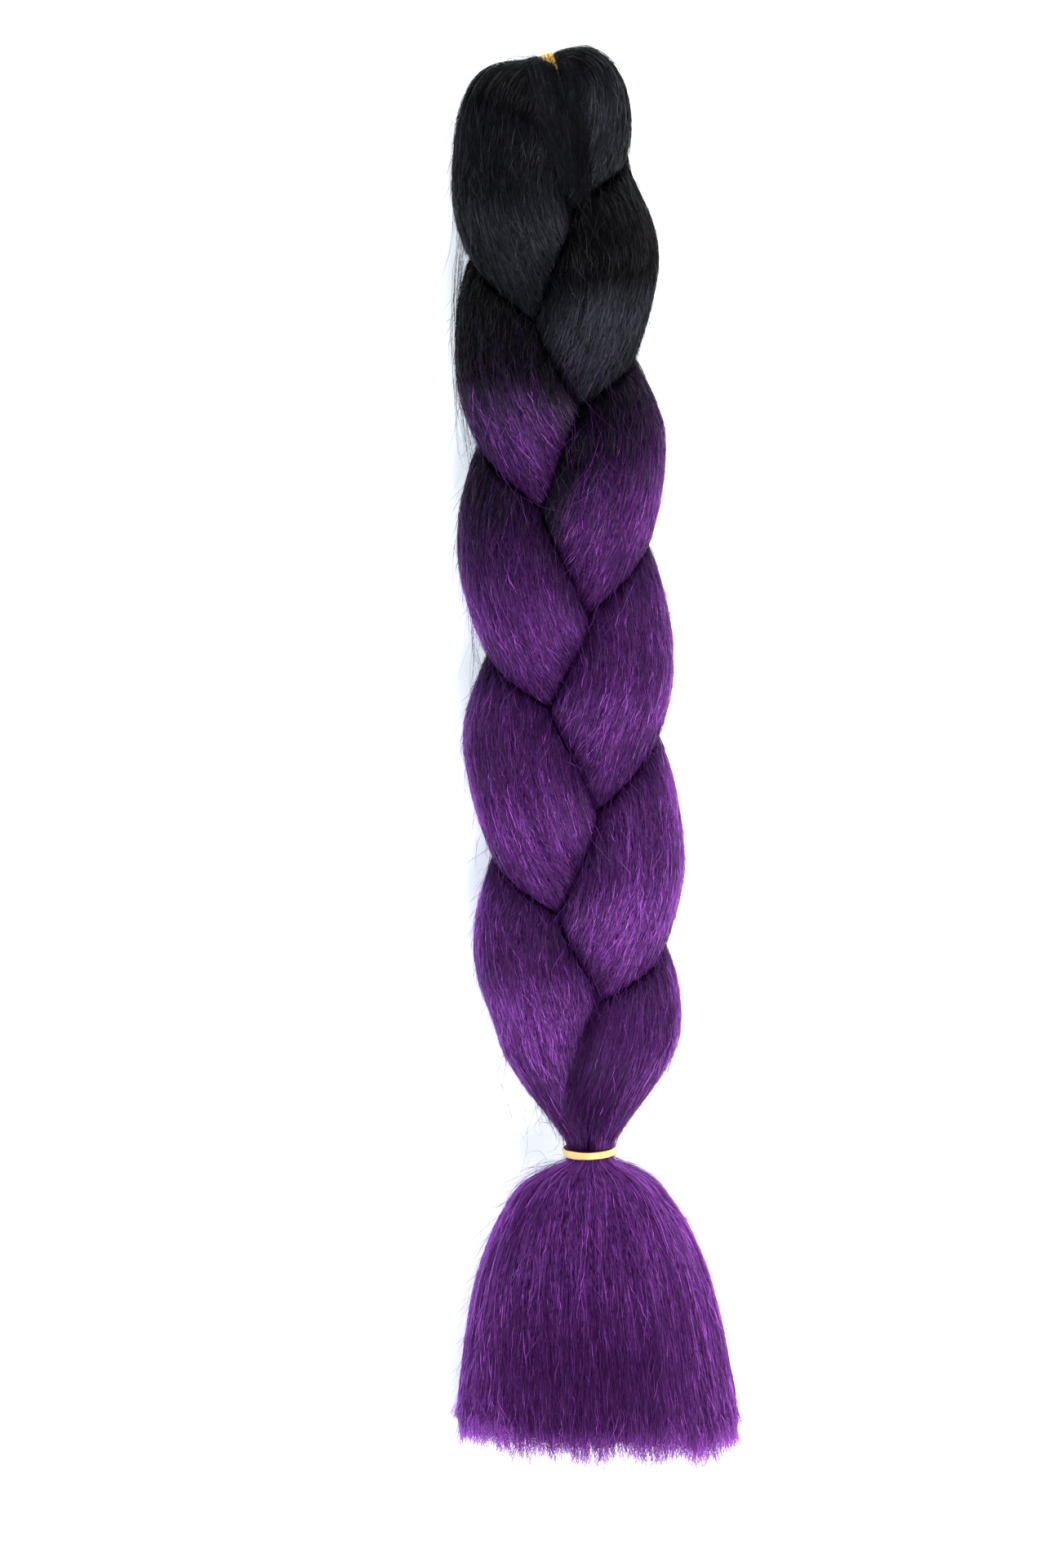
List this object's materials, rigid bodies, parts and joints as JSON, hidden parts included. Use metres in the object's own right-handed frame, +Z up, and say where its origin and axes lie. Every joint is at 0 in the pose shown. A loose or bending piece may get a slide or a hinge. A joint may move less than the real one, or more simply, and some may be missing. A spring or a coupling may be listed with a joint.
{
  "type": "bundle of braiding hair",
  "caption": "Folded hank of crimped synthetic hair, bound with a rubber band, plaited in three strands and tied above a brush of loose cut ends.",
  "frame": {"origin": "on the surface that the bundle lies on, under the middle of its length and width", "axes": "+Y along the plait towards its fold, +X to the right as the bundle lies seen from above with its fold away from the viewer, +Z up"},
  "size_m": [0.12, 0.6115, 0.0528],
  "materials": {
    "plaited_hair": "fine crimped synthetic fibre, near black at the fold, running to deep purple",
    "loose_hair": "fine crimped synthetic fibre, deep purple, lighter at its cut ends",
    "tie_rubber": "pale yellow elastic band, satin",
    "fold_rubber": "golden yellow elastic band, satin"
  },
  "bodies": {
    "root": {"strand_left": "plaited_hair", "strand_back": "plaited_hair", "strand_front": "plaited_hair", "brush": "loose_hair", "tie_band": "tie_rubber", "fold_band": "fold_rubber"}
  },
  "joints": []
}
